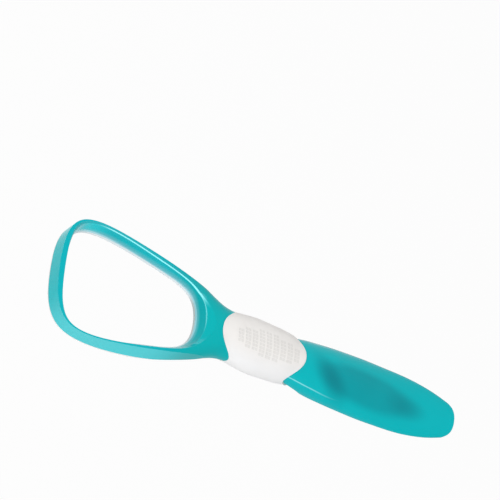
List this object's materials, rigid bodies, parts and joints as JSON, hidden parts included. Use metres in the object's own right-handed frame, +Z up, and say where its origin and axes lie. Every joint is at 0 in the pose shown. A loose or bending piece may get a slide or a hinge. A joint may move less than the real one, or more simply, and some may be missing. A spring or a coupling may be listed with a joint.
{
  "type": "sock aid",
  "caption": "Hand-held sock aid: open D-shaped loop that holds a sock's mouth, soft waisted grip and long shoe-horn blade, in coloured and white plastic.",
  "frame": {"origin": "under the middle of the object's length and width, at the height of the grip's lowest point", "axes": "+X runs along the tool from the blade's tip to the far end of the loop, +Y across it, +Z up out of the coloured back, with the white front facing down"},
  "size_m": [0.4023, 0.101, 0.0255],
  "materials": {
    "coloured_plastic": "glossy, slightly translucent teal",
    "white_plastic": "satin white",
    "soft_white": "matte white soft-touch, lightly textured"
  },
  "bodies": {
    "root": {"coloured_body": "coloured_plastic", "loop_liner": "white_plastic", "grip_sleeve": "soft_white", "blade_ring": "white_plastic"}
  },
  "joints": []
}
